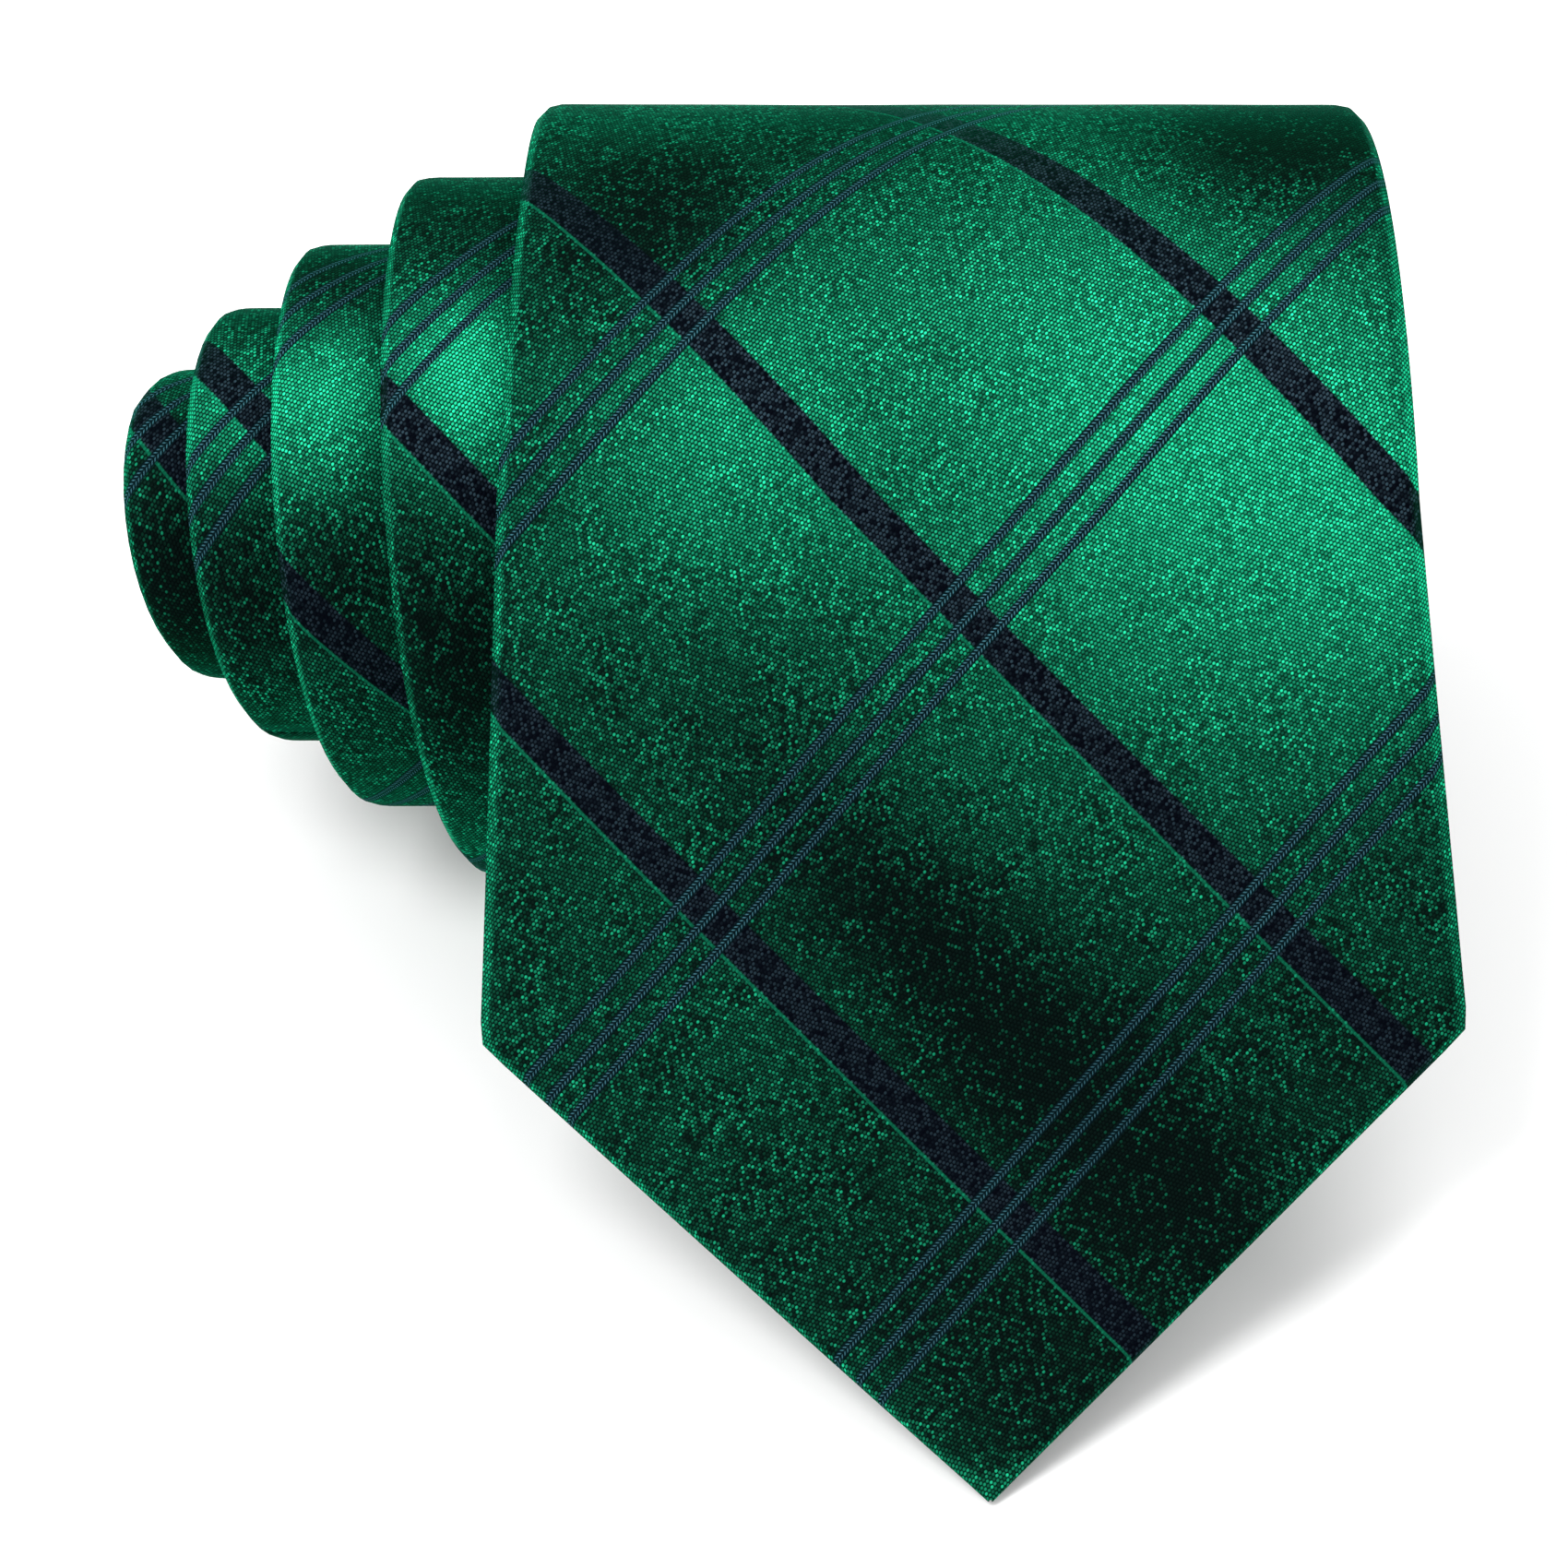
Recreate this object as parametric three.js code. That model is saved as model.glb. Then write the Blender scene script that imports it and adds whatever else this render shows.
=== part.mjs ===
import * as THREE from 'three';

// A necktie, folded in half at the neck and rolled up from the fold. The roll
// lies on its side along X, its turns slide out to -X, and the blade comes
// over the top and down the front (-Y) until its point rests on the table.
//
// Every piece is laid out flat on the tie: s runs along the tie from the point
// of the blade, w across it, and h is the height above the tie's middle
// surface, on which the two folded layers lie back to back. One list of ribs
// carries s, w and h into the roll.

// Cloth thicknesses and gaps, mm
const clothThick = 0.4;
const liningThick = 0.9;
const tippingThick = 0.3;
const pieceGap = 0.25;
const backLevel = 0.15;
const liningLevel = backLevel + clothThick + pieceGap;
const frontLevel = liningLevel + liningThick + pieceGap;
const faceLevel = frontLevel + clothThick;
const sideWall = 0.6;

// Outline of the flat tie, mm
const bladeHalf = 42.5;
const neckHalf = 19;
const bladeNarrowing = 360;
const tailHalf = 20;
const bluntTip = 1.2;
const hemAcross = 17;
const lipsMeet = 82;
const seamHalf = 0.5;

// The roll, mm and degrees
const flapLength = 87;
const flapStraight = 35;
const leaveAngle = -47;
const ribAngle = 15;
const outerRadius = 37.6;
const firstPitch = 6.75;
const pitchEase = 0.18;
const turns = 5.7;
const bottomFlat = 2;
const hingeGap = 0.4;
const tableLevel = -0.5;

// How far the turns slide sideways, mm and turns
const slideReach = 65;
const slideStart = 0.1;
const slideEase = 2.95;
const coreStart = 4;
const coreReturn = 5;
const slideLean = 4.2;
const restOffset = 0.5;
const flapLean = 0.03;

// Where things sit along the tie, mm from the point of the blade
const tailTipUnder = 125;
const bladeJoin = 560;
const neckPieceLength = 250;
const keeperAt = 215;
const keeperLength = 12;

const satin = '#0c7a4c';
const darkSatin = '#0a5f3c';
const woolWhite = '#e6e2d6';
const threadGreen = '#0b4a30';

const radians = THREE.MathUtils.degToRad;

function faceRadius(turn) {
  return outerRadius - firstPitch * turn + pitchEase * turn * turn;
}

const axisHeight = faceRadius(0.5) - bottomFlat;

function bladeWidth(s) {
  const narrowed = Math.exp(-(s - bladeHalf) / bladeNarrowing);
  return neckHalf + (bladeHalf - neckHalf) * narrowed;
}

// The turns slide to the left, ever less towards the middle, and the core sits
// back a little. Each turn leans, so that its upper front stands out furthest.
function rollCentre(turn) {
  const slid = Math.max(Math.min(turn, coreStart) - slideStart, 0);
  const slide = slideReach * (1 - Math.exp(-slid / slideEase));
  const back = coreReturn * Math.max(turn - coreStart, 0);
  const lean = slideLean * THREE.MathUtils.smoothstep(turn, 0, 0.6);
  const swing = lean * Math.cos(2 * Math.PI * (turn + 0.125));
  return restOffset - slide + back - swing;
}

// The bottom of the roll settles into a flat patch, and the layers above it
// give way less and less towards the axis.
function settled(y, z) {
  const angle = Math.atan2(y, z - axisHeight);
  const turn = (angle < 0 ? angle + 2 * Math.PI : angle) / (2 * Math.PI);
  const outer = faceRadius(turn);
  const lift = Math.max(0, -(axisHeight + outer * Math.cos(angle)));
  const depth = Math.hypot(y, z - axisHeight) / outer;
  return z + lift * depth * depth;
}

// Ribs of the flap, walked down from the roll to the table. The flap runs
// straight at first and then levels out.
function walkFlap(landSlope) {
  const start = radians(leaveAngle);
  const radius = faceRadius(leaveAngle / 360) - faceLevel;
  let y = radius * Math.sin(start);
  let z = axisHeight + radius * Math.cos(start);
  const step = 0.5;
  const walked = [];
  for (let s = flapLength; s >= 0; s -= step) {
    const eased = THREE.MathUtils.smoothstep(flapLength - s, flapStraight, flapLength);
    const slope = -start + (landSlope + start) * eased;
    walked.push({ s, y, z, slope });
    y -= step * Math.cos(slope);
    z -= step * Math.sin(slope);
  }
  return walked;
}

function landedFlap() {
  let low = radians(-20);
  let high = radians(50);
  for (let i = 0; i < 30; i += 1) {
    const middle = (low + high) / 2;
    const walked = walkFlap(middle);
    const tip = walked[walked.length - 1];
    if (tip.z > tableLevel) {
      low = middle;
    } else {
      high = middle;
    }
  }
  return walkFlap(low);
}

const flapWalk = landedFlap();

function flapRib(s) {
  const at = flapWalk.reduce((best, one) => (
    Math.abs(one.s - s) < Math.abs(best.s - s) ? one : best
  ));
  const slide = s - at.s;
  const centre = rollCentre(leaveAngle / 360) + flapLean * (flapLength - s);
  return {
    s,
    x: centre,
    y: at.y + slide * Math.cos(at.slope),
    z: at.z + slide * Math.sin(at.slope),
    ny: -Math.sin(at.slope),
    nz: Math.cos(at.slope),
    inRoll: false,
  };
}

// Ribs of the roll, from where the blade leaves it to the fold at its middle.
function rollRibs() {
  const ribs = [];
  const steps = Math.round((turns * 360) / ribAngle);
  let s = flapLength;
  for (let i = 0; i <= steps; i += 1) {
    const degrees = leaveAngle + i * ribAngle;
    const turn = degrees / 360;
    const angle = radians(degrees);
    const radius = faceRadius(turn) - faceLevel;
    if (i > 0) {
      s += radius * radians(ribAngle);
    }
    ribs.push({
      s,
      turn,
      x: rollCentre(turn),
      y: radius * Math.sin(angle),
      z: axisHeight + radius * Math.cos(angle),
      ny: Math.sin(angle),
      nz: Math.cos(angle),
      inRoll: true,
    });
  }
  return ribs;
}

const layerOne = rollRibs();
const foldRib = layerOne[layerOne.length - 1];
const foldArc = Math.PI * (faceLevel + backLevel) / 2;
const tieLength = 2 * foldRib.s + foldArc - tailTipUnder;

// Ribs of the fold and of the tail, which runs back out along the same turns
// with its face turned to the axis.
function foldRibs() {
  const ribs = [];
  const steps = 6;
  for (let i = 1; i < steps; i += 1) {
    const turned = Math.PI * i / steps;
    const cos = Math.cos(turned);
    const sin = Math.sin(turned);
    ribs.push({
      ...foldRib,
      s: foldRib.s + foldArc * i / steps,
      ny: foldRib.ny * cos + foldRib.nz * sin,
      nz: foldRib.nz * cos - foldRib.ny * sin,
    });
  }
  return ribs;
}

function tailRibs() {
  return layerOne.slice().reverse().map((rib) => ({
    ...rib,
    s: 2 * foldRib.s + foldArc - rib.s,
    ny: -rib.ny,
    nz: -rib.nz,
  }));
}

const flapPlaces = [bluntTip, 8, hemAcross, 25, 34, bladeHalf, 52, 62, 72, lipsMeet];
const allRibs = [...flapPlaces.map(flapRib), ...layerOne, ...foldRibs(), ...tailRibs()];

function blended(a, b, s) {
  const share = (s - a.s) / (b.s - a.s);
  const mix = (key) => a[key] + (b[key] - a[key]) * share;
  return {
    s,
    x: mix('x'),
    y: mix('y'),
    z: mix('z'),
    ny: mix('ny'),
    nz: mix('nz'),
    inRoll: a.inRoll,
  };
}

function ribAt(s) {
  const next = allRibs.findIndex((rib) => rib.s > s);
  return blended(allRibs[next - 1], allRibs[next], s);
}

// All ribs of a piece that starts and ends at two places on the tie.
function ribsBetween(from, to) {
  const clear = 0.05;
  const inside = allRibs.filter((rib) => rib.s > from + clear && rib.s < to - clear);
  return [ribAt(from), ...inside, ribAt(to)];
}

function placed(rib, w, h) {
  const y = rib.y + rib.ny * h;
  const z = rib.z + rib.nz * h;
  return [rib.x + w, y, rib.inRoll ? settled(y, z) : z];
}

// A closed solid swept through ribs, from an outline of [w, h] points that has
// as many points at every rib.
function sweep(name, colour, ribs, outline) {
  const positions = [];
  const indices = [];
  const rings = ribs.map((rib) => outline(rib));
  const count = rings[0].length;
  rings.forEach((ring, i) => {
    ring.forEach(([w, h]) => positions.push(...placed(ribs[i], w, h)));
  });
  for (let i = 0; i + 1 < rings.length; i += 1) {
    for (let j = 0; j < count; j += 1) {
      const a = i * count + j;
      const b = i * count + ((j + 1) % count);
      indices.push(a, a + count, b, b, a + count, b + count);
    }
  }
  const lastRing = (rings.length - 1) * count;
  const startPoints = rings[0].map(([w, h]) => new THREE.Vector2(w, h));
  const endPoints = rings[rings.length - 1].map(([w, h]) => new THREE.Vector2(w, h));
  for (const [a, b, c] of THREE.ShapeUtils.triangulateShape(startPoints, [])) {
    indices.push(a, b, c);
  }
  for (const [a, b, c] of THREE.ShapeUtils.triangulateShape(endPoints, [])) {
    indices.push(lastRing + a, lastRing + c, lastRing + b);
  }
  const geometry = new THREE.BufferGeometry();
  geometry.setAttribute('position', new THREE.Float32BufferAttribute(positions, 3));
  geometry.setIndex(indices);
  geometry.computeVertexNormals();
  const finish = new THREE.MeshStandardMaterial({ color: colour, roughness: 0.5, metalness: 0 });
  const mesh = new THREE.Mesh(geometry, finish);
  mesh.name = name;
  return mesh;
}

// Half width of the tie: a square-cornered point at each end, and a long taper
// from the blade to the neck and out again to the tail.
function halfWidth(s) {
  const fromTail = tieLength - s;
  const tip = Math.min(s, fromTail);
  const widen = THREE.MathUtils.smoothstep(s, foldRib.s, tieLength - tailHalf);
  const atFold = bladeWidth(foldRib.s);
  const tail = atFold + (tailHalf - atFold) * widen;
  return Math.min(tip, s < foldRib.s ? bladeWidth(s) : tail);
}

// Half of the opening between the two hem lips on the back.
function lipOpening(s) {
  if (s < lipsMeet) {
    const corner = bladeHalf - hemAcross;
    const closing = (s - bladeHalf) / (lipsMeet - bladeHalf);
    const open = s < bladeHalf ? s - hemAcross : corner * (1 - closing);
    return Math.max(seamHalf, open);
  }
  const fromTail = tieLength - s;
  const tailHem = 9;
  const tailMeet = 34;
  const corner = tailHalf - tailHem;
  const closing = (fromTail - tailHalf) / (tailMeet - tailHalf);
  const open = fromTail < tailHalf ? fromTail - tailHem : corner * (1 - closing);
  return Math.max(seamHalf, open);
}

function shellOutline(rib) {
  const half = halfWidth(rib.s);
  const lip = Math.min(lipOpening(rib.s), half - sideWall - 0.1);
  const inner = half - sideWall;
  const lipTop = backLevel + clothThick;
  return [
    [-half, faceLevel],
    [-half, backLevel],
    [-lip, backLevel],
    [-lip, lipTop],
    [-inner, lipTop],
    [-inner, frontLevel],
    [inner, frontLevel],
    [inner, lipTop],
    [lip, lipTop],
    [lip, backLevel],
    [half, backLevel],
    [half, faceLevel],
  ];
}

function slab(halfOf, low, high) {
  return (rib) => {
    const half = halfOf(rib.s);
    return [[-half, high], [-half, low], [half, low], [half, high]];
  };
}

const lining = slab(
  (s) => halfWidth(s) - sideWall - pieceGap,
  liningLevel,
  liningLevel + liningThick,
);

const tipping = slab(
  (s) => Math.max(lipOpening(s) - pieceGap, 0.2),
  backLevel + clothThick - tippingThick,
  backLevel + clothThick,
);

const threadHalf = 0.22;
const thread = slab(() => threadHalf, backLevel + 0.05, backLevel + 0.4);

const tackHalf = 0.25;
const tack = slab(() => tackHalf, backLevel, backLevel + clothThick);

// The loop that the tail goes through: two feet on the back of the blade, two
// legs past the edges of the tail, and a band across the tail's face.
function keeperOutline() {
  const band = 0.5;
  const legAt = 23.2;
  const footEnd = 27;
  const crown = -(faceLevel + 0.35);
  const foot = backLevel - pieceGap;
  return [
    [-footEnd, foot],
    [-footEnd, foot - band],
    [-legAt - band, foot - band],
    [-legAt - band, crown - band],
    [legAt + band, crown - band],
    [legAt + band, foot - band],
    [footEnd, foot - band],
    [footEnd, foot],
    [legAt, foot],
    [legAt, crown],
    [-legAt, crown],
    [-legAt, foot],
  ];
}

function seamThread(name, at) {
  const edge = 1;
  const outline = slab((s) => halfWidth(s) - edge, frontLevel + 0.05, faceLevel - 0.05);
  return sweep(name, threadGreen, ribsBetween(at - 0.2, at + 0.2), outline);
}

const hinge = flapLength;
const halfHinge = hingeGap / 2;
const joinGap = 0.5;
const tailJoin = bladeJoin + neckPieceLength;
const tailEnd = tieLength - bluntTip;
const liningInset = 2.5;
const liningSplit = foldRib.s + foldArc + 20;

const tie = new THREE.Group();

tie.add(sweep('blade_tip_shell', satin, ribsBetween(bluntTip, hinge - halfHinge), shellOutline));
tie.add(sweep('blade_shell', satin, ribsBetween(hinge + halfHinge, bladeJoin - joinGap), shellOutline));
tie.add(sweep('neck_shell', satin, ribsBetween(bladeJoin + joinGap, tailJoin - joinGap), shellOutline));
tie.add(sweep('tail_shell', satin, ribsBetween(tailJoin + joinGap, tailEnd), shellOutline));

tie.add(sweep('blade_tip_interlining', woolWhite, ribsBetween(liningInset, hinge - halfHinge), lining));
tie.add(sweep('blade_interlining', woolWhite, ribsBetween(hinge + halfHinge, liningSplit - 0.2), lining));
tie.add(sweep(
  'tail_interlining', woolWhite, ribsBetween(liningSplit + 0.2, tieLength - liningInset), lining,
));

tie.add(sweep('blade_tipping', darkSatin, ribsBetween(hemAcross + 1, lipsMeet - 1), tipping));
tie.add(sweep('tail_tipping', darkSatin, ribsBetween(tieLength - 33, tieLength - 10), tipping));

tie.add(sweep('blade_bar_tack', threadGreen, ribsBetween(lipsMeet, lipsMeet + 4), tack));
tie.add(sweep('tail_bar_tack', threadGreen, ribsBetween(tieLength - 39, tieLength - 35), tack));
tie.add(sweep('slip_stitch', threadGreen, ribsBetween(hinge + 2, tieLength - 41), thread));

tie.add(sweep(
  'keeper_loop', satin, ribsBetween(keeperAt, keeperAt + keeperLength), keeperOutline,
));
tie.add(seamThread('blade_neck_seam', bladeJoin));
tie.add(seamThread('tail_neck_seam', tailJoin));

export default tie;
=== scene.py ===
import math

import bpy
import numpy as np
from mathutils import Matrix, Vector


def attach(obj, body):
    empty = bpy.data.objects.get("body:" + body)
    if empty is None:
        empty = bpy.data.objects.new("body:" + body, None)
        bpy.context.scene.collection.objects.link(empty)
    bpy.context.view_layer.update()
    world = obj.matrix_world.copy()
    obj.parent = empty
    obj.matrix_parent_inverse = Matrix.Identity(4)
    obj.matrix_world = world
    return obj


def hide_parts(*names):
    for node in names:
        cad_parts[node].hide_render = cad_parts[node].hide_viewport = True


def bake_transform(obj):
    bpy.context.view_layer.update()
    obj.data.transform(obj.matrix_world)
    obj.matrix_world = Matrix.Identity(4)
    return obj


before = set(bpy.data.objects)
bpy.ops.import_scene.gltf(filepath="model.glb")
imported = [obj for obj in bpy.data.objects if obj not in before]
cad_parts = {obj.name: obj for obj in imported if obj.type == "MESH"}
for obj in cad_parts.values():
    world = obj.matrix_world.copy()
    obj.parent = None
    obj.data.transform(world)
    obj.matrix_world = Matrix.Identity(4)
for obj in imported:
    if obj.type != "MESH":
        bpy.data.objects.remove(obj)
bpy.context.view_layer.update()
print("necktie: frame loaded")

# Every piece is drawn on the tie as if it lay flat: s runs along it from the point of the blade, w
# across it, and h is the height above the surface where its two halves lie back to back. place()
# then rolls it up. Sizes are in mm, angles in degrees, and turns count from the top inwards.
roll = {
    "outerRadius": 37.6,
    "firstPitch": 6.75,        # how much smaller each turn is than the one round it
    "pitchEase": 0.18,
    "turns": 5.7,
    "leaveAngle": -47.0,       # where the flap leaves the roll
    "ribAngle": 15.0,
    "bottomFlat": 2.0,         # how far the roll has settled on the table
    "flapLength": 87.0,
    "flapStraight": 35.0,
    "flapStep": 0.5,
    "tableLevel": -0.5,
    "landSlopes": (-20.0, 50.0),
    "landTries": 30,
    "flapLean": 0.03,
    "flapTurn": 0.016,
    "slideReach": 65.0,        # how far the inner turns have slid out to the left
    "slideStart": 0.1,
    "slideEase": 2.95,
    "coreStart": 4.0,
    "coreReturn": 5.0,
    "slideLean": 4.2,
    "leanGrown": 0.6,
    "leanPhase": 0.125,
    "restOffset": 0.5,
}
tie = {
    "bladeHalf": 42.5,
    "pointSlope": 1.045,       # how fast the point widens on each side
    "neckHalf": 19.0,
    "bladeNarrowing": 360.0,
    "tailHalf": 20.0,
    "tailTipUnder": 125.0,     # how much shorter the tail half is than the blade half
    "bladeJoin": 560.0,
    "neckPieceLength": 250.0,
    "hemAcross": 17.0,
    "lipsMeet": 82.0,
    "seamHalf": 0.3,
    "tailHem": 9.0,
    "tailMeet": 34.0,
    "keeperAt": 215.0,
    "keeperLength": 12.0,
}
backLevel = 0.15
faceLevel = 2.35
middleLevel = (backLevel + faceLevel) / 2
mm = 0.001


def faceRadius(turn):
    return roll["outerRadius"] - roll["firstPitch"] * turn + roll["pitchEase"] * turn * turn


axisHeight = faceRadius(0.5) - roll["bottomFlat"]


def smoothRise(x, low, high):
    x = np.clip((np.asarray(x, float) - low) / (high - low), 0, 1)
    return x * x * (3 - 2 * x)


# Sideways place of each turn: the inner ones have slid out, and each turn leans as it goes round.
def rollCentre(turn):
    slid = np.maximum(np.minimum(turn, roll["coreStart"]) - roll["slideStart"], 0)
    slide = roll["slideReach"] * (1 - np.exp(-slid / roll["slideEase"]))
    back = roll["coreReturn"] * np.maximum(turn - roll["coreStart"], 0)
    lean = roll["slideLean"] * smoothRise(turn, 0, roll["leanGrown"])
    return roll["restOffset"] - slide + back - lean * np.cos(2 * np.pi * (turn + roll["leanPhase"]))


# The flap's side view, from the roll to the point: (s, y, z, slope) every half millimetre.
def walkFlap(landSlope):
    start = math.radians(-roll["leaveAngle"])
    radius = faceRadius(roll["leaveAngle"] / 360) - faceLevel
    y = -radius * math.sin(start)
    z = axisHeight + radius * math.cos(start)
    step = roll["flapStep"]
    walked = []
    for i in range(int(roll["flapLength"] / step) + 1):
        gone = i * step
        eased = float(smoothRise(gone, roll["flapStraight"], roll["flapLength"]))
        slope = start + (landSlope - start) * eased
        walked.append((roll["flapLength"] - gone, y, z, slope))
        y -= step * math.cos(slope)
        z -= step * math.sin(slope)
    return np.array(walked)


# The slope at the point is the one that brings it down onto the table.
def landedFlap():
    low, high = (math.radians(slope) for slope in roll["landSlopes"])
    for _ in range(roll["landTries"]):
        middle = (low + high) / 2
        if walkFlap(middle)[-1][2] > roll["tableLevel"]:
            low = middle
        else:
            high = middle
    return walkFlap(low)[::-1]


flapWalk = landedFlap()
ribCount = round(roll["turns"] * 360 / roll["ribAngle"]) + 1
ribTurns = (roll["leaveAngle"] + roll["ribAngle"] * np.arange(ribCount)) / 360
ribSteps = (faceRadius(ribTurns) - faceLevel) * math.radians(roll["ribAngle"])
ribPlaces = roll["flapLength"] + np.concatenate([[0], np.cumsum(ribSteps[1:])])
foldPlace = ribPlaces[-1]
foldArc = math.pi * middleLevel
tieLength = 2 * foldPlace + foldArc - tie["tailTipUnder"]
tailJoin = tie["bladeJoin"] + tie["neckPieceLength"]


# Lifts what would be under the table, less and less towards the middle of the roll.
def settled(y, z):
    angle = np.arctan2(y, z - axisHeight)
    turn = np.where(angle < 0, angle + 2 * np.pi, angle) / (2 * np.pi)
    outer = faceRadius(turn)
    lift = np.maximum(0, -(axisHeight + outer * np.cos(angle)))
    depth = np.hypot(y, z - axisHeight) / outer
    return z + lift * depth * depth


def place(s, w, h):
    s, w, h = np.broadcast_arrays(*(np.asarray(a, float) for a in (s, w, h)))
    inFlap = s < roll["flapLength"]
    onTail = s > foldPlace + foldArc
    layer = np.where(onTail, 2 * foldPlace + foldArc - s, np.minimum(s, foldPlace))
    turn = np.interp(layer, ribPlaces, ribTurns)
    angle = turn * 2 * np.pi
    radius = faceRadius(turn) - faceLevel
    inFold = np.clip((s - foldPlace) / foldArc, 0, 1) * np.pi
    x = rollCentre(turn) + w
    y = radius * np.sin(angle) + np.sin(angle + inFold) * h
    z = axisHeight + radius * np.cos(angle) + np.cos(angle + inFold) * h
    z = settled(y, z)
    turned = s + roll["flapTurn"] * w * smoothRise(roll["flapLength"] - s, 0, roll["flapStraight"])
    slope = np.interp(turned, flapWalk[:, 0], flapWalk[:, 3])
    flapX = rollCentre(roll["leaveAngle"] / 360) + roll["flapLean"] * (roll["flapLength"] - s) + w
    flapY = np.interp(turned, flapWalk[:, 0], flapWalk[:, 1]) - np.sin(slope) * h
    flapZ = np.interp(turned, flapWalk[:, 0], flapWalk[:, 2]) + np.cos(slope) * h
    x = np.where(inFlap, flapX, x)
    y = np.where(inFlap, flapY, y)
    z = np.where(inFlap, flapZ, z)
    return np.stack([x, y, z], -1) * mm


cloth = {
    "thick": 0.36,
    "edgeRound": 2.6,          # how far in from a folded edge the cloth starts to turn
    "edgePower": 2.3,
    "cornerRound": 0.7,
    "step": 2.0,
    "foldStep": 0.4,
    "frontPoints": 44,
    "backPoints": 15,
    "lipShare": 0.6,           # the lips never stand further apart than this share of the width
    "pointPuff": 0.35,         # how full the very point is, against the rest
    "puffGrown": 9.0,
    "pointThick": 0.3,
    "tipEnd": 0.25,
    "handover": 178.0,         # where the front piece meets the rolled piece
    "joinGap": 0.15,
}
# Soft unevenness of the pressed cloth: waves of (along, across, phase, share).
ripples = {
    "height": 0.10,
    "most": 0.12,
    "back": 0.3,
    "edge": 1.0,
    "grown": 12.0,
    "waves": (
        (0.115, 0.09, 1.3, 1.0),
        (0.061, -0.13, 0.4, 0.8),
        (0.27, 0.05, 2.1, 0.5),
        (-0.04, 0.31, 0.9, 0.4),
    ),
}
# How far the woven pattern has crept along the tie at a few places, all behind the roll.
creep = {
    "at": (130.0, 260.0, 330.0, 430.0, 490.0, 600.0, 670.0),
    "by": (0.0, 7.7, 7.7, 2.9, 2.9, 2.6, 15.0),
}


def bladeWidth(s):
    narrowed = np.exp(-(s - tie["bladeHalf"]) / tie["bladeNarrowing"])
    return tie["neckHalf"] + (tie["bladeHalf"] - tie["neckHalf"]) * narrowed


def halfWidth(s):
    tip = min(s, tieLength - s) * tie["pointSlope"]
    if s < foldPlace:
        side = bladeWidth(s)
    else:
        widen = float(smoothRise(s, foldPlace, tieLength - tie["tailHalf"]))
        atFold = bladeWidth(foldPlace)
        side = atFold + (tie["tailHalf"] - atFold) * widen
    gap = side - tip
    corner = cloth["cornerRound"]
    if abs(gap) > corner:
        return min(tip, side)
    return side - (gap + corner) ** 2 / (4 * corner)


# Half the distance between the lips of the back: open at the points, nearly shut along the seam.
def lipOpening(s):
    if s < foldPlace:
        tip, half, hem, meet = s, tie["bladeHalf"], tie["hemAcross"], tie["lipsMeet"]
    else:
        tip, half, hem, meet = tieLength - s, tie["tailHalf"], tie["tailHem"], tie["tailMeet"]
    closing = (tip - half) / (meet - half)
    opening = min(tip * tie["pointSlope"] - hem, (half - hem) * (1 - closing))
    return max(tie["seamHalf"], opening)


def ripple(s, w):
    total = sum(share * np.sin(s * along + w * across + phase)
                for along, across, phase, share in ripples["waves"])
    return total * ripples["height"] / sum(wave[3] for wave in ripples["waves"])


def edgeFall(w, half):
    start = max(half - cloth["edgeRound"], 0)
    inEdge = np.clip((np.abs(w) - start) / max(half - start, 1e-6), 0, 1)
    return (1 - inEdge ** cloth["edgePower"]) ** (1 / cloth["edgePower"])


# One section of the folded cloth, as (w, h, way round the cloth): its outside, then its inside.
def shellOutline(s):
    half = halfWidth(s)
    lip = min(lipOpening(s), half * cloth["lipShare"])
    puff = (faceLevel - backLevel) / 2 * min(1, cloth["pointPuff"] + half / cloth["puffGrown"])
    x = np.linspace(-1, 1, cloth["frontPoints"])
    front = half * (np.sin(x * np.pi / 2) + x) / 2
    frontH = middleLevel + puff * edgeFall(front, half)
    y = np.linspace(0, 1, cloth["backPoints"])[1:]
    back = half + (lip - half) * (y + 1 - np.cos(y * np.pi / 2)) / 2
    backH = middleLevel - puff * edgeFall(back, half)
    w = np.concatenate([-back[::-1], front, back])
    h = np.concatenate([backH[::-1], frontH, backH])
    along = np.concatenate([[0], np.cumsum(np.hypot(np.diff(w), np.diff(h)))])
    along -= along[-1] / 2
    tangent = np.stack([np.gradient(w), np.gradient(h)], 1)
    tangent /= np.maximum(np.linalg.norm(tangent, axis=1, keepdims=True), 1e-9)
    thick = min(cloth["thick"], half * cloth["pointThick"])
    innerW = w + tangent[:, 1] * thick
    innerH = h - tangent[:, 0] * thick
    side = np.where(h > middleLevel, 1, ripples["back"])
    wobble = ripple(s, w) * side * min(1, half / ripples["grown"])
    wobble = np.minimum(wobble, ripples["most"]) * (np.abs(w) < half - ripples["edge"])
    outerH = np.minimum(h + wobble, faceLevel + ripples["most"])
    outer = np.stack([w, outerH, along], 1)
    inner = np.stack([innerW, innerH + wobble, along], 1)
    return np.concatenate([outer, inner[::-1]])


def meshOf(name, points, faces, marks):
    mesh = bpy.data.meshes.new(name)
    mesh.from_pydata([tuple(p) for p in points], [], faces)
    mesh.polygons.foreach_set("use_smooth", [True] * len(mesh.polygons))
    layer = mesh.attributes.new("clothPlace", "FLOAT_VECTOR", "POINT")
    layer.data.foreach_set("vector", np.asarray(marks, np.float32).ravel())
    mesh.update()
    piece = bpy.data.objects.new(name, mesh)
    bpy.context.scene.collection.objects.link(piece)
    return piece


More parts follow.
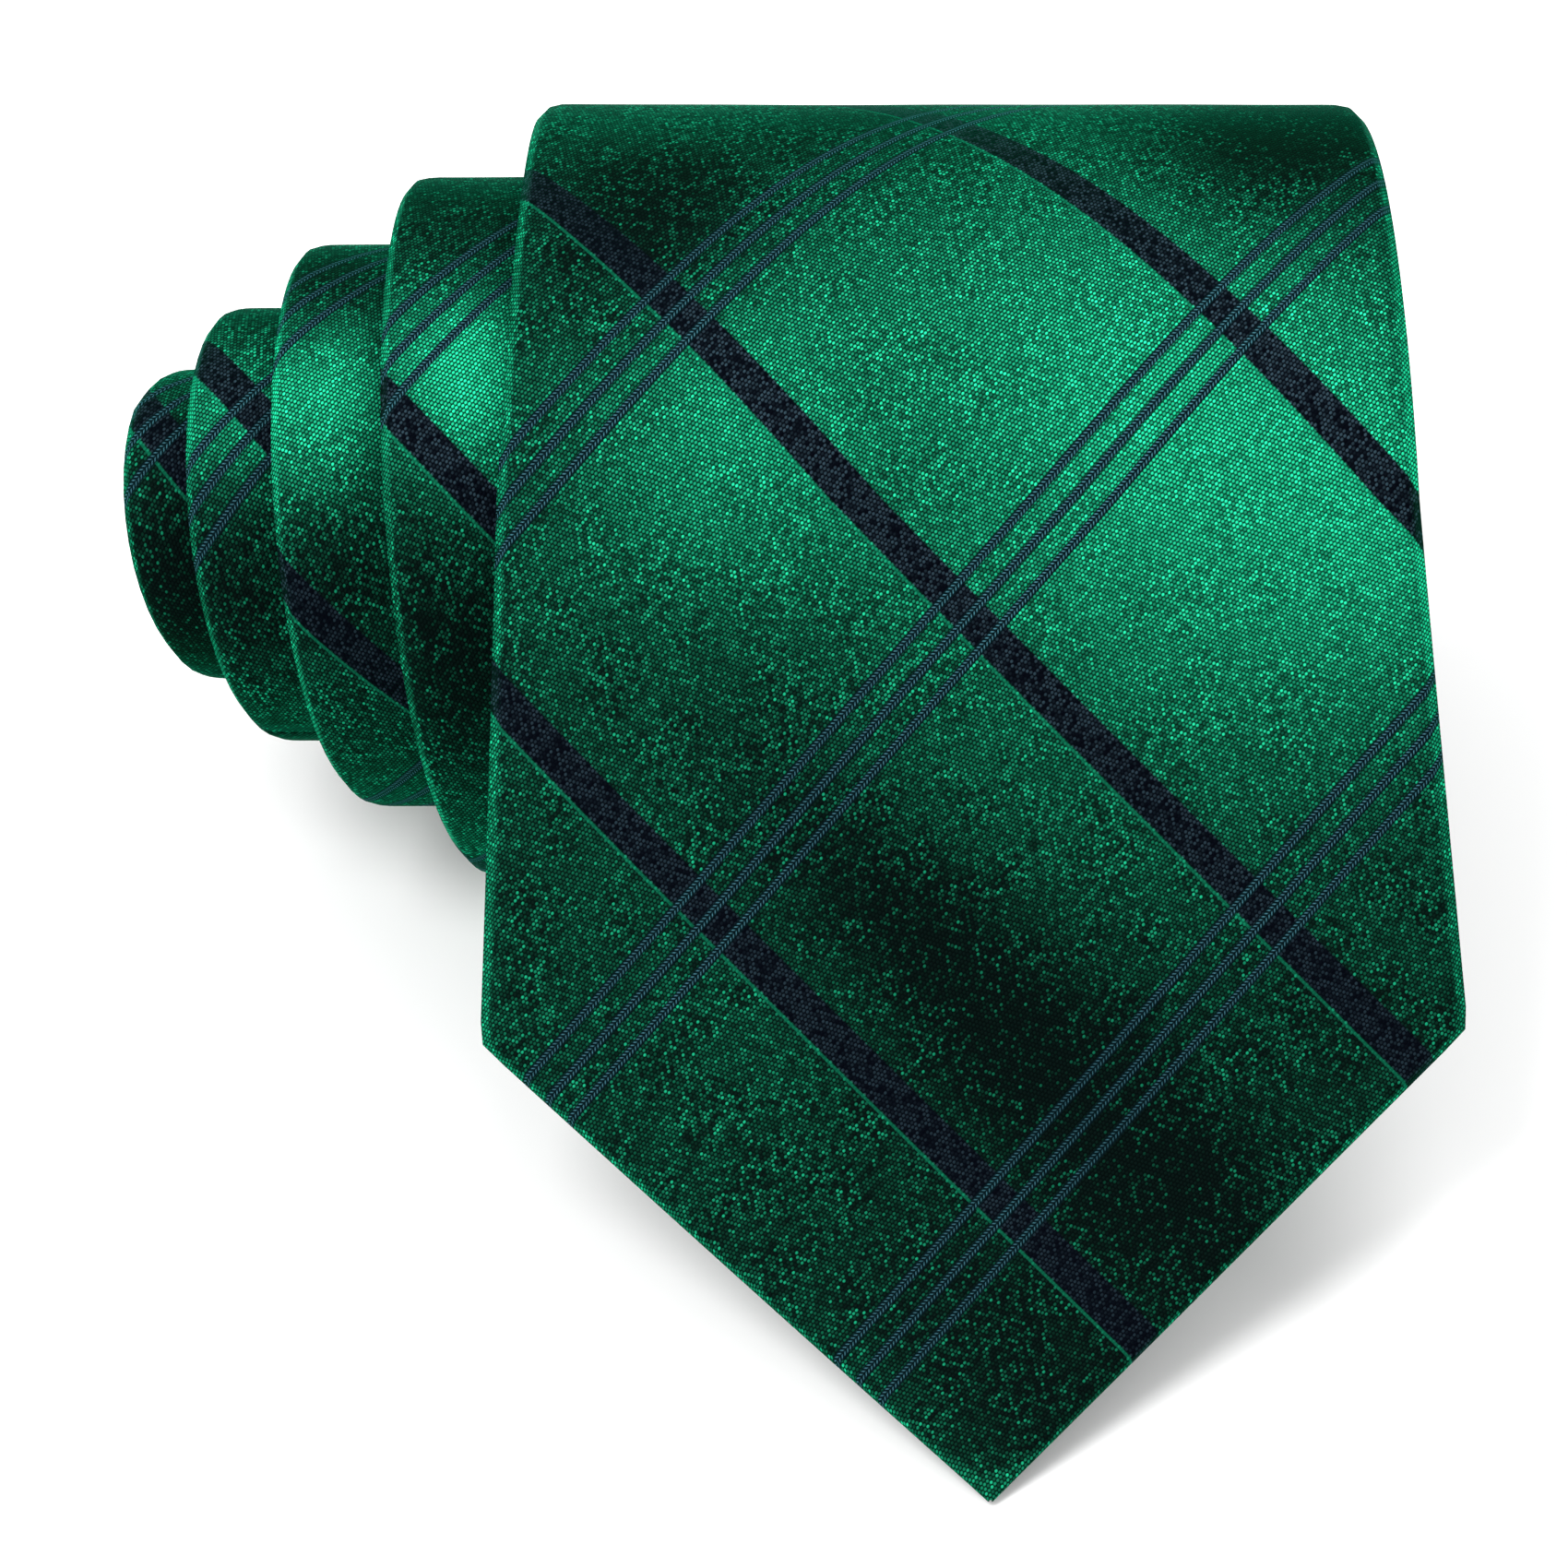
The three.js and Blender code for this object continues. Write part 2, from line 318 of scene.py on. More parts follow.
# Where a strip gets its cross sections: at every corner of its outline and evenly between them.
def stopsBetween(start, end, step):
    slope = tie["pointSlope"]
    corners = [start, end, roll["flapLength"], tie["bladeHalf"] / slope, tie["hemAcross"] / slope,
               tie["lipsMeet"], foldPlace, foldPlace + foldArc, tieLength - tie["tailHalf"] / slope,
               tieLength - tie["tailHem"] / slope, tieLength - tie["tailMeet"]]
    corners = sorted(c for c in corners if start <= c <= end)
    stops = [corners[0]]
    for a, b in zip(corners, corners[1:]):
        inFold = foldPlace <= a < foldPlace + foldArc
        count = max(1, math.ceil((b - a) / (cloth["foldStep"] if inFold else step)))
        stops += [a + (b - a) * (i + 1) / count for i in range(count)]
    return stops


# How a strip of cloth is laid out for baking: side by side columns, most of each for the shown side.
layout = {
    "shown": 0.72,
    "between": 0.02,
    "margin": 0.01,
    "capShare": 0.006,
}


def layFlat(piece, stops, marks, columns):
    count = len(marks[0])
    half = count // 2
    along = np.array([ring[:, 0] for ring in marks])
    along = along / np.ptp(along, axis=1).max() + 0.5
    hiddenFrom = layout["shown"] + layout["between"]
    across = np.ones((len(stops), count + 1))
    across[:, :half] = along[:, :half] * layout["shown"]
    across[:, half:count] = hiddenFrom + (1 - along[:, half:]) * (1 - hiddenFrom)
    across = layout["margin"] + across * (1 - 2 * layout["margin"])
    limits = [round(c * (len(stops) - 1) / columns) for c in range(columns + 1)]
    corners = []
    for column, (low, high) in enumerate(zip(limits, limits[1:])):
        up = (np.array(stops[low:high + 1]) - stops[low]) / (stops[high] - stops[low])
        for i in range(low, high):
            for ring, j in ((i, 0), (i, 1), (i + 1, 1), (i + 1, 0)):
                u = (column + across[ring, j:j + count]) / columns
                corners.append(np.stack([u, np.full(count, up[ring - low])], 1))
    quads = np.array(corners).reshape(-1, 4, count, 2).transpose(0, 2, 1, 3).reshape(-1, 2)
    caps = []
    for j in range(half - 1):
        for ring, column, v in ((0, 0, 0.0), (len(stops) - 1, columns - 1, 1.0)):
            inward = v + layout["capShare"] * (1 - 2 * v)
            u0 = (column + across[ring, j]) / columns
            u1 = (column + across[ring, j + 1]) / columns
            four = [(u0, v), (u1, v), (u1, inward), (u0, inward)]
            caps += four[::-1] if ring == 0 else four
    uvs = np.concatenate([quads, np.array(caps)])
    piece.data.uv_layers.new(name="OFBake").data.foreach_set("uv", uvs.astype(np.float32).ravel())


# A closed strip with the given section, capped at both ends.
def sweep(name, start, end, outline, step=cloth["step"], columns=0):
    rings, marks = [], []
    stops = stopsBetween(start, end, step)
    for s in stops:
        ring = outline(s)
        rings.append(place(s, ring[:, 0], ring[:, 1]))
        woven = s + float(np.interp(s, creep["at"], creep["by"]))
        marks.append(np.stack([ring[:, 2], np.full(len(ring), woven), ring[:, 1]], 1))
    count = len(rings[0])
    faces = []
    for i in range(len(stops) - 1):
        for j in range(count):
            a, b = i * count + j, i * count + (j + 1) % count
            faces.append((a, b, b + count, a + count))
    last = (len(stops) - 1) * count
    for j in range(count // 2 - 1):
        a, b, c, d = j, j + 1, count - 2 - j, count - 1 - j
        faces.append((d, c, b, a))
        faces.append((last + a, last + b, last + c, last + d))
    piece = meshOf(name, np.concatenate(rings), faces, np.concatenate(marks))
    if columns:
        layFlat(piece, stops, marks, columns)
    return piece


# Node building in the order in which the values are worked out.
class Nodes:
    def __init__(self, name):
        self.material = bpy.data.materials.new(name)
        self.material.use_nodes = True
        self.tree = self.material.node_tree
        self.shader = self.tree.nodes["Principled BSDF"]

    def add(self, kind, **settings):
        node = self.tree.nodes.new(kind)
        for key, value in settings.items():
            setattr(node, key, value)
        return node

    def put(self, socket, value):
        if isinstance(value, bpy.types.NodeSocket):
            self.tree.links.new(value, socket)
        else:
            socket.default_value = value

    def math(self, operation, a, b=0.0, c=0.0):
        node = self.add("ShaderNodeMath", operation=operation)
        for socket, value in zip(node.inputs, (a, b, c)):
            self.put(socket, value)
        return node.outputs[0]

    def plus(self, a, b):
        return self.math("ADD", a, b)

    def times(self, a, b):
        return self.math("MULTIPLY", a, b)

    def timesPlus(self, a, b, c):
        return self.math("MULTIPLY_ADD", a, b, c)

    def size(self, value):
        return self.math("ABSOLUTE", value)

    def wave(self, value, length):
        return self.math("SINE", self.times(value, 2 * math.pi / length))

    def rise(self, value, low, high, to=(0.0, 1.0)):
        node = self.add("ShaderNodeMapRange", interpolation_type="SMOOTHSTEP")
        for key, part in zip(("Value", "From Min", "From Max", "To Min", "To Max"),
                             (value, low, high, *to)):
            self.put(node.inputs[key], part)
        return node.outputs[0]

    def vector(self, x, y, z=0.0):
        node = self.add("ShaderNodeCombineXYZ")
        for socket, value in zip(node.inputs, (x, y, z)):
            self.put(socket, value)
        return node.outputs[0]

    def white(self, vector):
        node = self.add("ShaderNodeTexWhiteNoise", noise_dimensions="3D")
        self.put(node.inputs["Vector"], vector)
        return node.outputs["Value"]

    def noise(self, vector, scale, detail):
        node = self.add("ShaderNodeTexNoise", noise_dimensions="3D")
        self.put(node.inputs["Vector"], vector)
        self.put(node.inputs["Scale"], scale)
        self.put(node.inputs["Detail"], detail)
        return node.outputs["Fac"]

    def mix(self, share, a, b):
        node = self.add("ShaderNodeMix", data_type="RGBA")
        self.put(node.inputs[0], share)
        self.put(node.inputs[6], a)
        self.put(node.inputs[7], b)
        return node.outputs[2]

    def bump(self, height, distance, strength):
        node = self.add("ShaderNodeBump")
        self.put(node.inputs["Height"], height)
        node.inputs["Distance"].default_value = distance
        node.inputs["Strength"].default_value = strength
        self.put(self.shader.inputs["Normal"], node.outputs[0])

    def set(self, **values):
        for key, value in values.items():
            self.put(self.shader.inputs[key.replace("_", " ")], value)

    def clothAxes(self):
        at = self.add("ShaderNodeAttribute", attribute_type="GEOMETRY", attribute_name="clothPlace")
        parts = self.add("ShaderNodeSeparateXYZ")
        self.put(parts.inputs[0], at.outputs["Vector"])
        return parts.outputs[0], parts.outputs[1], parts.outputs[2]


# The plaid is woven square and the cloth is cut on the bias, so both sets of stripes run aslant.
plaid = {
    "thickAcross": (0.727, 0.688),     # direction that the thick stripes are counted along
    "thinAcross": (-0.739, 0.672),
    "thickEvery": 34.2,
    "thickFirst": 19.3,
    "thickHalf": 1.65,
    "thickEdge": 0.12,
    "stripeChance": (0.0, 1.0),
    "stripeShade": (-0.1, 1.0),
    "stripeDim": (0.25, 1.0),
    "edgeLineWide": 0.18,
    "edgeLineCore": 0.5,
    "edgeLineShare": 0.42,
    "thinEvery": 36.0,
    "thinFirst": 15.3,
    "thinApart": 2.55,
    "thinHalf": 0.42,
    "thinEdge": 0.1,
    "thinReach": 1.4,                  # the group of three ends this many gaps from its middle
    "strand": 0.36,
    "strandLean": 0.9,
    "strandAt": 0.18,
    "strandEdge": (0.17, 0.04),
    "strandTwist": (-0.2, 0.9),
    "ropeShade": (-0.3, 0.9),
    "ropeDim": (0.35, 1.0),
    "ropeHeight": 1.2,
    "beadLong": 0.38,
    "beadWide": 0.31,
    "beadSlant": 0.4,
    "beadEdge": (1.05, 0.1),
    "bumpDepth": 0.00010,
    "bumpShare": 0.5,
    "roughness": (0.46, 0.34),
    # Dark and lit colours of the threads: the black and green yarns of the jacquard. How much of each
    # shows follows the shade field, so painted shade and highlight come through them as well.
    "ground": (0.0012, 0.0030, 0.0028, 1),
    "groundLit": (0.0020, 0.0350, 0.0170, 1),
    "bead": (0.0020, 0.0060, 0.0050, 1),
    "beadLit": (0.0200, 0.8000, 0.3900, 1),
    "edgeLine": (0.0040, 0.1600, 0.0800, 1),
    "stripe": (0.0014, 0.0020, 0.0040, 1),
    "stripeBead": (0.0250, 0.0480, 0.0640, 1),
    "rope": (0.0015, 0.0060, 0.0080, 1),
    "ropeLit": (0.0500, 0.1600, 0.2000, 1),
    "tint": (0.15, 1.0, 0.65, 1),
}
# What makes one bead of thread brighter than the next, among them a painted highlight along the
# rounded long edges.
glow = {
    "drift": 0.22,
    "driftScale": 0.06,
    "driftDetail": 3.0,
    "grain": 0.22,
    "grainScale": 0.95,
    "grainDetail": 2.0,
    "fold": 0.30,                      # painted highlight: the rounded long edges are lightened in colour
    "foldHighlightFrom": (1.0, 1.4),
    "foldHighlightTo": (2.2, 1.7),
    "chance": (0.18, 0.52),
    "chanceScale": 0.22,
    "chanceDetail": 2.0,
    "chanceEdge": (0.38, 0.62),
    "chanceLayer": 40.0,
    "spark": 0.22,
    "sparkPower": 8.0,
    "power": 2.2,
    "gain": 0.64,
}
# Soft light and dark clouds, each at (thick count, thin count) with its reach along both and how
# much it lightens or darkens. They are partly the jacquard's own shading and partly painted shade
# and painted highlight, such as the darker point and the light and dark bands round the turns.
# They repeat every seven stripes by five.
clouds = {
    "level": 0.35,
    "every": (7 * plaid["thickEvery"], 5 * plaid["thinEvery"]),
    "patches": (
        ((76, 50), (26, 28), 0.53),
        ((48, 78), (16, 14), 0.36),
        ((86, 28), (14, 18), 0.30),
        ((57, 95), (10, 9), -0.30),
        ((108, 62), (14, 12), -0.42),
        ((86, 92), (18, 9), -0.14),
        ((31, 24), (8, 30), -0.33),
        # the jacquard's shading and painted shade: the point of the flap is darker
        ((10, 8), (16, 18), -0.18),
        ((48, 8), (14, 14), -0.10),
        ((197, 45), (8, 8), 0.70),
        ((210, 60), (9, 9), -0.15),
        ((178, 32), (8, 9), -0.25),
        ((67, 151), (8, 7), 0.60),
        ((78, 160), (6, 6), -0.20),
        ((57, 141), (5, 5), -0.22),
        ((155, 54), (6, 6), 0.40),
        ((144, 44), (6, 5), -0.20),
        ((216, 113), (9, 8), -0.34),
        ((130, 120), (22, 30), 0.45),
        ((170, 110), (12, 34), -0.20),
        ((110, 160), (20, 20), 0.35),
        ((215, 5), (20, 18), 0.40),
        ((150, 5), (18, 24), 0.30),
        ((10, 125), (20, 24), 0.40),
        ((20, 165), (16, 18), -0.15),
    ),
}


# Distance from the nearest of a row of places, minus on one side and plus on the other.
def wrapped(nodes, value, first, every):
    shifted = nodes.plus(value, every / 2 - first)
    return nodes.math("SUBTRACT", nodes.math("FLOORED_MODULO", shifted, every), every / 2)


def counted(nodes, w, s, direction):
    return nodes.timesPlus(w, direction[0], nodes.times(s, direction[1]))


# Adds up the clouds: the jacquard's shading together with painted shade and painted highlight.
def cloudShade(nodes, p, q):
    shade = clouds["level"]
    for (atP, atQ), (reachP, reachQ), amount in clouds["patches"]:
        offP = nodes.math("DIVIDE", wrapped(nodes, p, atP, clouds["every"][0]), reachP)
        offQ = nodes.math("DIVIDE", wrapped(nodes, q, atQ, clouds["every"][1]), reachQ)
        far = nodes.timesPlus(offP, offP, nodes.times(offQ, offQ))
        near = nodes.math("EXPONENT", nodes.times(far, -1.0))
        shade = nodes.timesPlus(near, amount, shade)
    return shade


def beadCells(nodes, p, q):
    line = nodes.math("DIVIDE", q, plaid["beadWide"])
    row = nodes.math("FLOOR", line)
    spot = nodes.timesPlus(row, plaid["beadSlant"], nodes.math("DIVIDE", p, plaid["beadLong"]))
    column = nodes.math("FLOOR", spot)
    chance = nodes.white(nodes.vector(row, column))
    offX, offY = (nodes.times(nodes.math("SUBTRACT", nodes.math("FRACT", part), 0.5), 2.0)
                  for part in (spot, line))
    far = nodes.timesPlus(offX, offX, nodes.times(offY, offY))
    return chance, nodes.rise(far, *plaid["beadEdge"])


# How bright the cloth is at a place: its cloud, which holds painted shade and highlight as well as the
# jacquard's shading, slow and fine unevenness, and a painted highlight along the long folds.
def clothShade(nodes, w, s, h, p, q):
    shade = cloudShade(nodes, p, q)
    for name in ("drift", "grain"):
        uneven = nodes.noise(nodes.vector(w, s), glow[name + "Scale"], glow[name + "Detail"])
        shade = nodes.timesPlus(nodes.math("SUBTRACT", uneven, 0.5), glow[name], shade)
    # painted highlight: the colour is lightened along the rounded long edges
    foldHighlight = nodes.times(nodes.rise(h, *glow["foldHighlightFrom"]), nodes.rise(h, *glow["foldHighlightTo"]))
    return nodes.timesPlus(foldHighlight, glow["fold"], shade)


def brightness(nodes, shade):
    kept = nodes.math("MAXIMUM", shade, 0.0)
    return nodes.times(nodes.math("POWER", kept, glow["power"]), glow["gain"])


def beadShade(nodes, w, s, shade, chance):
    layer = nodes.vector(w, s, glow["chanceLayer"])
    spread = nodes.rise(nodes.noise(layer, glow["chanceScale"], glow["chanceDetail"]),
                        *glow["chanceEdge"], glow["chance"])
    broken = nodes.timesPlus(nodes.math("SUBTRACT", chance, 0.5), spread, shade)
    spark = nodes.times(nodes.math("POWER", chance, glow["sparkPower"]), glow["spark"])
    return nodes.plus(broken, spark)


# The thick stripe, with a fine green line on its lower side.
def thickStripe(nodes, p, shade, chance, bead, colour):
    half, edge, wide = plaid["thickHalf"], plaid["thickEdge"], plaid["edgeLineWide"]
    thick = wrapped(nodes, p, plaid["thickFirst"], plaid["thickEvery"])
    inStripe = nodes.rise(nodes.size(thick), half + edge, half - edge)
    lineAt = nodes.plus(thick, half + wide)
    inLine = nodes.rise(nodes.size(lineAt), wide, wide * plaid["edgeLineCore"])
    colour = nodes.mix(nodes.times(inLine, plaid["edgeLineShare"]), colour, plaid["edgeLine"])
    sparkle = nodes.times(bead, nodes.rise(chance, *plaid["stripeChance"]))
    # the stripe's dots dim with the shade field, painted shade included
    sparkle = nodes.times(sparkle, nodes.rise(shade, *plaid["stripeShade"], plaid["stripeDim"]))
    return nodes.mix(inStripe, colour, nodes.mix(sparkle, plaid["stripe"], plaid["stripeBead"]))


# Three thin ropes, each of two strands that lean against the run of the rope.
def thinRopes(nodes, p, q, shade, colour):
    half, edge, apart = plaid["thinHalf"], plaid["thinEdge"], plaid["thinApart"]
    thin = wrapped(nodes, q, plaid["thinFirst"], plaid["thinEvery"])
    which = nodes.math("ROUND", nodes.math("DIVIDE", thin, apart))
    off = nodes.size(nodes.timesPlus(which, -apart, thin))
    inGroup = nodes.math("LESS_THAN", nodes.size(thin), apart * plaid["thinReach"])
    isRope = nodes.times(nodes.rise(off, half + edge, half - edge), inGroup)
    twist = nodes.wave(nodes.timesPlus(off, plaid["strandLean"], p), plaid["strand"])
    fromStrand = nodes.size(nodes.math("SUBTRACT", off, plaid["strandAt"]))
    strand = nodes.rise(fromStrand, *plaid["strandEdge"])
    ropeBead = nodes.times(nodes.rise(twist, *plaid["strandTwist"]), strand)
    # the rope's lit strands dim with the shade field, painted shade included
    ropeLit = nodes.times(ropeBead, nodes.rise(shade, *plaid["ropeShade"], plaid["ropeDim"]))
    rope = nodes.mix(ropeLit, plaid["rope"], plaid["ropeLit"])
    return isRope, ropeBead, nodes.mix(isRope, colour, rope)


def plaidSatin():
    nodes = Nodes("plaid_satin")
    w, s, h = nodes.clothAxes()
    p = counted(nodes, w, s, plaid["thickAcross"])
    q = counted(nodes, w, s, plaid["thinAcross"])
    chance, bead = beadCells(nodes, p, q)
    shade = clothShade(nodes, w, s, h, p, q)
    # bead and ground colours follow the shade field, painted shade and highlight included
    lit = brightness(nodes, beadShade(nodes, w, s, shade, chance))
    under = nodes.mix(brightness(nodes, shade), plaid["ground"], plaid["groundLit"])
    colour = nodes.mix(bead, under, nodes.mix(lit, plaid["bead"], plaid["beadLit"]))
    colour = thickStripe(nodes, p, shade, chance, bead, colour)
    isRope, ropeBead, colour = thinRopes(nodes, p, q, shade, colour)
    nodes.set(Base_Color=colour, Metallic=0.3, Specular_IOR_Level=0.0, Specular_Tint=plaid["tint"])
    nodes.set(Roughness=nodes.rise(lit, 0.0, 1.0, plaid["roughness"]), Anisotropic=0.3)
    height = nodes.timesPlus(isRope, nodes.times(ropeBead, plaid["ropeHeight"]), bead)
    nodes.bump(height, plaid["bumpDepth"], plaid["bumpShare"])
    return nodes.material


# The plain satin of the tippings: a rib one way, a finer one the other way, and slow clouds. The
# raised ribs are painted in the lighter gleam colour, a painted sheen.
tippingCloth = {
    "rib": 0.5,
    "cross": 0.34,
    "ribShare": 0.5,
    "crossShare": 0.35,
    "cloudScale": 0.12,
    "cloudDetail": 4.0,
    "cloudShare": 0.25,
    "liftEdge": (-0.8, 0.8),
    "liftShare": (0.1, 0.75),
    "roughness": (0.5, 0.36),
    "colour": (0.001, 0.026, 0.015, 1),
    "gleam": (0.005, 0.090, 0.050, 1),
    "bumpDepth": 0.00008,
    "bumpShare": 0.4,
}


def plainSatin():
    look = tippingCloth
    nodes = Nodes("tipping_satin")
    w, s, _ = nodes.clothAxes()
    rib = nodes.wave(nodes.plus(w, s), look["rib"])
    cross = nodes.wave(nodes.math("SUBTRACT", w, s), look["cross"])
    cloud = nodes.noise(nodes.vector(w, s), look["cloudScale"], look["cloudDetail"])
    lift = nodes.plus(nodes.times(rib, look["ribShare"]), nodes.times(cross, look["crossShare"]))
    share = nodes.plus(nodes.rise(lift, *look["liftEdge"], look["liftShare"]),
                       nodes.times(cloud, look["cloudShare"]))
    # painted sheen: the colour turns to gleam on the raised ribs
    nodes.set(Base_Color=nodes.mix(share, look["colour"], look["gleam"]), Metallic=0.2,
              Specular_IOR_Level=0.05, Roughness=nodes.rise(lift, -1.0, 1.0, look["roughness"]))
    nodes.bump(lift, look["bumpDepth"], look["bumpShare"])
    return nodes.material


fleece = {
    "fluffScale": 2600.0,
    "fluffDetail": 5.0,
    "fluffShare": 0.7,
    "patchScale": 180.0,
    "patchDetail": 3.0,
    "patchShare": 0.3,
    "fluffEdge": (0.2, 0.8),
    "roughness": (0.95, 0.8),
    "dark": (0.50, 0.47, 0.40, 1),
    "pale": (0.86, 0.83, 0.76, 1),
    "bumpDepth": 0.0003,
    "bumpShare": 0.6,
}


def brushedLining():
    nodes = Nodes("brushed_interlining")
    at = nodes.add("ShaderNodeTexCoord").outputs["Object"]
    fluff = nodes.noise(at, fleece["fluffScale"], fleece["fluffDetail"])
    patch = nodes.noise(at, fleece["patchScale"], fleece["patchDetail"])
    share = nodes.plus(nodes.times(fluff, fleece["fluffShare"]),
                       nodes.times(patch, fleece["patchShare"]))
    nodes.set(Base_Color=nodes.mix(share, fleece["dark"], fleece["pale"]), Sheen_Weight=0.3,
              Roughness=nodes.rise(fluff, *fleece["fluffEdge"], fleece["roughness"]))
    nodes.bump(share, fleece["bumpDepth"], fleece["bumpShare"])
    return nodes.material


# Twisted thread, the crest of each ply painted in the lighter lit colour as a painted highlight.
threadTwist = {
    "ply": 0.7,
    "roughness": (0.6, 0.4),
    "dark": (0.003, 0.05, 0.03, 1),
    "lit": (0.02, 0.22, 0.13, 1),
    "bumpDepth": 0.00008,
    "bumpShare": 0.5,
}


def twistedThread():
    nodes = Nodes("twisted_thread")
    w, s, _ = nodes.clothAxes()
    twist = nodes.wave(nodes.plus(w, s), threadTwist["ply"])
    # painted highlight on the crest of each ply
    colour = nodes.mix(nodes.rise(twist, -1.0, 1.0), threadTwist["dark"], threadTwist["lit"])
    nodes.set(Base_Color=colour, Specular_IOR_Level=0.15,
              Roughness=nodes.rise(twist, -1.0, 1.0, threadTwist["roughness"]))
    nodes.bump(twist, threadTwist["bumpDepth"], threadTwist["bumpShare"])
    return nodes.material


satin = plaidSatin()
tippingSatin = plainSatin()
lining = brushedLining()
thread = twistedThread()
print("necktie: materials made")


def finishPiece(piece, body, material, replaced):
    piece.data.materials.append(material)
    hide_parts(replaced)
    if body:
        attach(piece, body)
    return piece


def acrossHinge(piece):
    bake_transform(piece)


tipEnd, handover, joinGap = cloth["tipEnd"], cloth["handover"], cloth["joinGap"]
frontCloth = finishPiece(sweep("blade_front_cloth", tipEnd, handover, shellOutline, columns=1),
                         None, satin, "blade_tip_shell")
acrossHinge(frontCloth)
rolledCloth = finishPiece(
    sweep("blade_rolled_cloth", handover, tie["bladeJoin"] - joinGap, shellOutline, columns=2),
    "roll", satin, "blade_shell")
neckCloth = finishPiece(
    sweep("neck_cloth", tie["bladeJoin"] + joinGap, tailJoin - joinGap, shellOutline, columns=2),
    "roll", satin, "neck_shell")
tailCloth = finishPiece(
    sweep("tail_cloth", tailJoin + joinGap, tieLength - tipEnd, shellOutline, columns=3),
    "roll", satin, "tail_shell")
print("necktie: outer cloth made")


def roundCloth(s):
    return float(np.ptp(shellOutline(s)[:, 2]))


def declareShell(start, end):
    widest = max(roundCloth(s) for s in np.arange(start, end, 4.0))
    area = sum(roundCloth(s) for s in np.arange(start, end, 1.0))


declareShell(tipEnd, handover)
declareShell(handover, tie["bladeJoin"])
declareShell(tie["bladeJoin"], tailJoin)
declareShell(tailJoin, tieLength - tipEnd)


# Flat layers inside the outer cloth, with softened long edges.
slab = {
    "points": 12,
    "edge": 0.3,
    "edgeDrop": 0.7,
    "leastHalf": 0.3,
}


def slabOutline(halfOf, low, high):
    def outline(s):
        half = halfOf(s)
        x = np.linspace(-1, 1, slab["points"]) * half
        inEdge = np.clip((np.abs(x) - half + slab["edge"]) / slab["edge"], 0, 1)
        lift = (high - low) / 2 * (1 - inEdge ** 2 * slab["edgeDrop"])
        middle = (high + low) / 2
        top = np.stack([x, middle + lift, x], 1)
        under = np.stack([x, middle - lift, x], 1)[::-1]
        return np.concatenate([top, under])
    return outline


def slabPiece(name, start, end, halfOf, levels, material, bodyName, replaced):
    piece = sweep(name, start, end, slabOutline(halfOf, *levels))
    finishPiece(piece, bodyName, material, replaced)
    halves = [halfOf(s) for s in np.arange(start, end, 1.0)]
    return piece


# The brushed interlining: one piece at the flap, then one for each half of the tie.
liningCut = {
    "levels": (0.82, 1.68),
    "inset": 0.85,
    "tipInset": 4.5,
    "split": foldPlace + foldArc + 20,
    "handoverGap": 0.1,
    "splitGap": 0.2,
}


def liningHalf(s):
    return max(halfWidth(s) - liningCut["inset"], slab["leastHalf"])


def liningPiece(name, start, end, bodyName, replaced):
    return slabPiece(name, start, end, liningHalf, liningCut["levels"], lining,
                     bodyName, replaced)


acrossHinge(liningPiece("blade_front_interlining", liningCut["tipInset"],
                        handover - liningCut["handoverGap"], None, "blade_tip_interlining"))
liningPiece("blade_rolled_interlining", handover + liningCut["handoverGap"],
            liningCut["split"] - liningCut["splitGap"], "roll", "blade_interlining")
liningPiece("tail_rolled_interlining", liningCut["split"] + liningCut["splitGap"],
            tieLength - liningCut["tipInset"], "roll", "tail_interlining")

# Satin tipping, tucked under the hem lips at both points.
tip = {
    "levels": (0.53, 0.74),
    "tuck": 3.0,
    "edge": 1.6,
    "bladeFrom": 3.2,
    "bladeTo": 80.0,
    "tailFrom": 32.0,
    "tailTo": 5.0,
}


def tippingHalf(s):
    return max(min(lipOpening(s) + tip["tuck"], halfWidth(s) - tip["edge"]), slab["leastHalf"])


slabPiece("blade_point_tipping", tip["bladeFrom"], tip["bladeTo"], tippingHalf, tip["levels"],
          tippingSatin, "flap", "blade_tipping")
slabPiece("tail_point_tipping", tieLength - tip["tailFrom"], tieLength - tip["tailTo"], tippingHalf,
          tip["levels"], tippingSatin, "roll", "tail_tipping")
print("necktie: interlining and tipping made")

# Bar tacks: short threads laid side by side across the end of the back seam.
tack = {
    "before": 1.0,             # how far inside the end of the seam it sits
    "reach": 2.7,
    "threads": 9,
    "apart": 0.36,
    "radius": 0.2,
    "rise": 0.22,
    "sink": 0.15,
    "taper": 0.75,
    "taperPower": 8,
    "stops": 17,
    "sides": 8,
}


